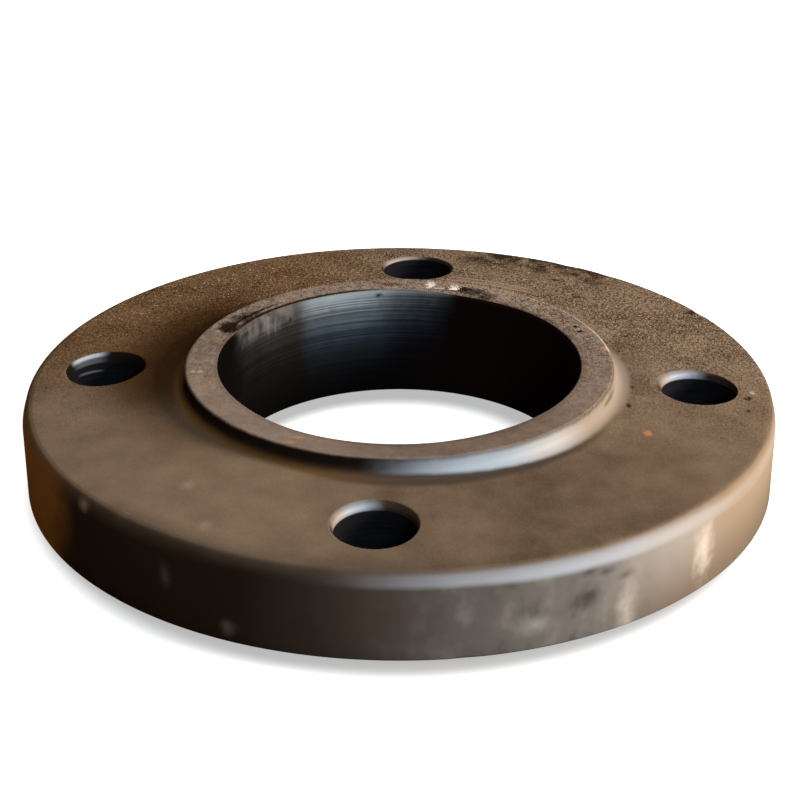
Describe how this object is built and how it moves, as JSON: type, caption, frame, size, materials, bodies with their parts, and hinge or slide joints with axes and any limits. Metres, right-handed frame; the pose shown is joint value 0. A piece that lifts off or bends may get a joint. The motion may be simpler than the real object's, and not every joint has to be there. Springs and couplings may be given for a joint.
{
  "type": "slip on flange",
  "caption": "Round slip on pipe flange with a low hub, a plain bore, a bolt circle and a raised gasket face.",
  "frame": {"origin": "centre of the bore on the gasket face, which is the base the flange rests on", "axes": "+Z along the bore, from the gasket face to the hub; the bolt holes lie on the X and Y directions"},
  "size_m": [0.1906, 0.1906, 0.0302],
  "materials": {
    "steel": "blasted forged steel, brown grey, with a smoother dark rim and machined bore"
  },
  "bodies": {
    "root": {"slip_on_flange": "steel"}
  },
  "joints": []
}
